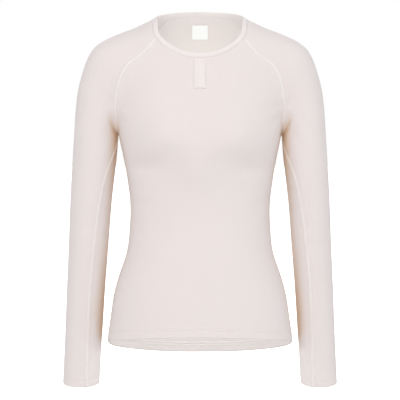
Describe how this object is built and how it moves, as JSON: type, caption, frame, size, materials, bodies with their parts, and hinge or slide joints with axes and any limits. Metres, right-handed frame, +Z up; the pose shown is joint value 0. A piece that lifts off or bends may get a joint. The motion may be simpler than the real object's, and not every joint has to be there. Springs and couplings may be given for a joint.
{
  "type": "long-sleeved thermal base layer top",
  "caption": "Close-fitting long-sleeved thermal base layer top with raglan sleeves, a bound neck, a centre tab and a dropped back hem, in its worn shape.",
  "frame": {"origin": "midway between the wearer's shoulders, level with the points where shoulder and neck meet, where the wearer holds it up", "axes": "+Z up, the front faces -Y, +X towards the wearer's left"},
  "size_m": [0.5006, 0.2257, 0.6803],
  "materials": {
    "jersey": "fine matte thermal knit, off-white with a faint pink cast",
    "trim": "smooth matte knit binding, a little lighter than the jersey",
    "label": "plain smooth white label cloth"
  },
  "bodies": {
    "root": {"front": "jersey", "back": "jersey", "sleeve_left": "jersey", "sleeve_right": "jersey", "neckband": "trim", "centre_tab": "trim", "back_neck_label": "label"}
  },
  "joints": []
}
